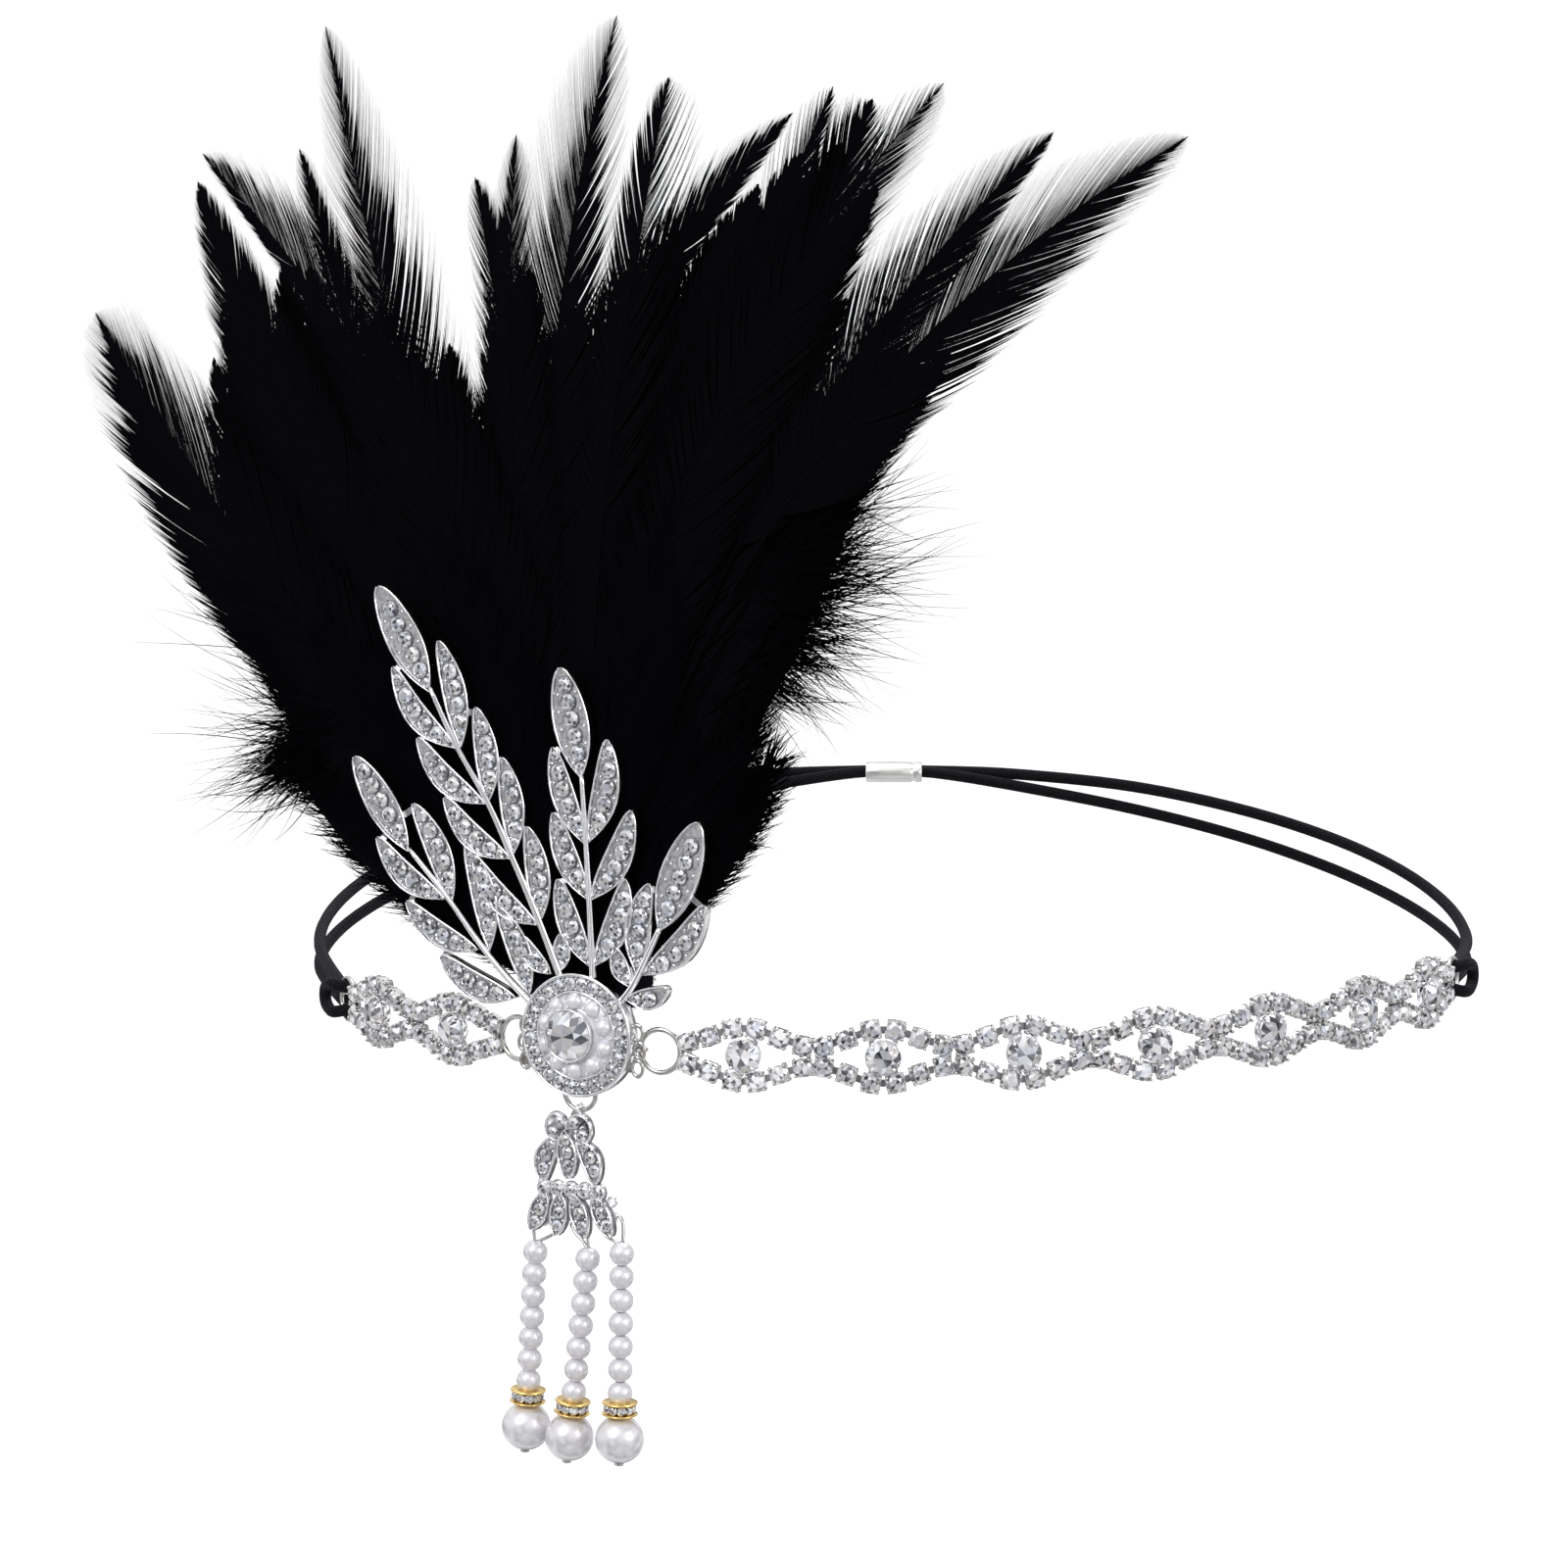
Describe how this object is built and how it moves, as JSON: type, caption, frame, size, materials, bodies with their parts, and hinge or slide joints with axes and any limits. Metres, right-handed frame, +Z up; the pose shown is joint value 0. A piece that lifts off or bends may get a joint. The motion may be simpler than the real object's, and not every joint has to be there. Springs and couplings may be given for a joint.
{
  "type": "flapper headband",
  "caption": "Flapper headband: rhinestone eye chain on a black elastic, leaf-spray brooch with a crystal and pearl medallion, a pearl bead drop and a fan of black feathers.",
  "frame": {"origin": "middle of the loop, level with the chain, where the wearer's head goes", "axes": "+Z up, -Y to the front, +X to the right seen from the front"},
  "size_m": [0.2367, 0.2158, 0.2413],
  "materials": {
    "silver": "bright silver plating, clear foiled stones set flush",
    "crystal": "clear foil-backed crystal in a silver cup",
    "pearl": "white imitation pearl with a soft lustre",
    "gilt": "gilt rims round small clear stones",
    "crimp": "satin nickel tube",
    "elastic": "black woven elastic cord",
    "felt": "black felt",
    "feather": "jet black hackle feathers and fluff with a faint blue sheen"
  },
  "bodies": {
    "headband": {"band_right": "silver", "band_left": "silver", "eye_stone_right_1": "crystal", "eye_stone_right_2": "crystal", "eye_stone_right_3": "crystal", "eye_stone_right_4": "crystal", "eye_stone_right_5": "crystal", "eye_stone_right_6": "crystal", "eye_stone_right_7": "crystal", "eye_stone_left_1": "crystal", "eye_stone_left_2": "crystal", "leaf_sprays": "silver", "medallion": "silver", "pearl_ring": "pearl", "centre_stone": "crystal", "elastic_right": "elastic", "elastic_left": "elastic", "crimp": "crimp", "feather_plume": "feather", "felt_pad": "felt"},
    "bail": {"bail_ring": "silver"},
    "drop": {"drop_casting": "silver", "head_pin_left": "silver", "drop_pearl_left": "pearl", "rondelle_left": "gilt", "bead_left_1": "pearl", "bead_left_2": "pearl", "bead_left_3": "pearl", "bead_left_4": "pearl", "bead_left_5": "pearl", "bead_left_6": "pearl", "bead_left_7": "pearl", "head_pin_middle": "silver", "drop_pearl_middle": "pearl", "rondelle_middle": "gilt", "bead_middle_1": "pearl", "bead_middle_2": "pearl", "bead_middle_3": "pearl", "bead_middle_4": "pearl", "bead_middle_5": "pearl", "bead_middle_6": "pearl", "bead_middle_7": "pearl", "head_pin_right": "silver", "drop_pearl_right": "pearl", "rondelle_right": "gilt", "bead_right_1": "pearl", "bead_right_2": "pearl", "bead_right_3": "pearl", "bead_right_4": "pearl", "bead_right_5": "pearl", "bead_right_6": "pearl", "bead_right_7": "pearl"}
  },
  "joints": [
    {"name": "bail_swing", "type": "hinge", "parent": "headband", "child": "bail", "pos_m": [-0.05185, -0.09057, -0.00557], "axis": [-0.4695, -0.8829, 0], "range_deg": [-25, 25]},
    {"name": "drop_tilt", "type": "hinge", "parent": "bail", "child": "drop", "pos_m": [-0.05185, -0.09057, -0.01147], "axis": [0.8829, -0.4695, 0], "range_deg": [-45, 45]}
  ]
}
